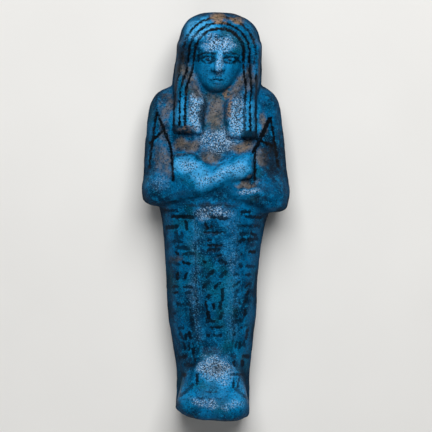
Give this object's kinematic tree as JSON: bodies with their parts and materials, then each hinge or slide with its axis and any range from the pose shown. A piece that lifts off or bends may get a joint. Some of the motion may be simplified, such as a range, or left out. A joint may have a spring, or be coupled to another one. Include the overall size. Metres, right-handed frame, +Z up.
{
  "type": "ushabti figurine",
  "caption": "Mummy-shaped ushabti figurine of blue glazed faience with a black-striped wig, crossed arms and painted columns of strokes, lying on its back",
  "frame": {"origin": "middle of the figure's plan, on the surface that its back lies on", "axes": "+Z up, out of the figure's front; +Y from the soles to the crown; +X to the viewer's right when the figure is seen from above with its crown away from the viewer"},
  "size_m": [0.0418, 0.115, 0.0247],
  "materials": {
    "faience": "glossy, uneven blue glaze with black painted lines and worn, dusty patches"
  },
  "bodies": {
    "root": {"ushabti_figure": "faience"}
  },
  "joints": []
}
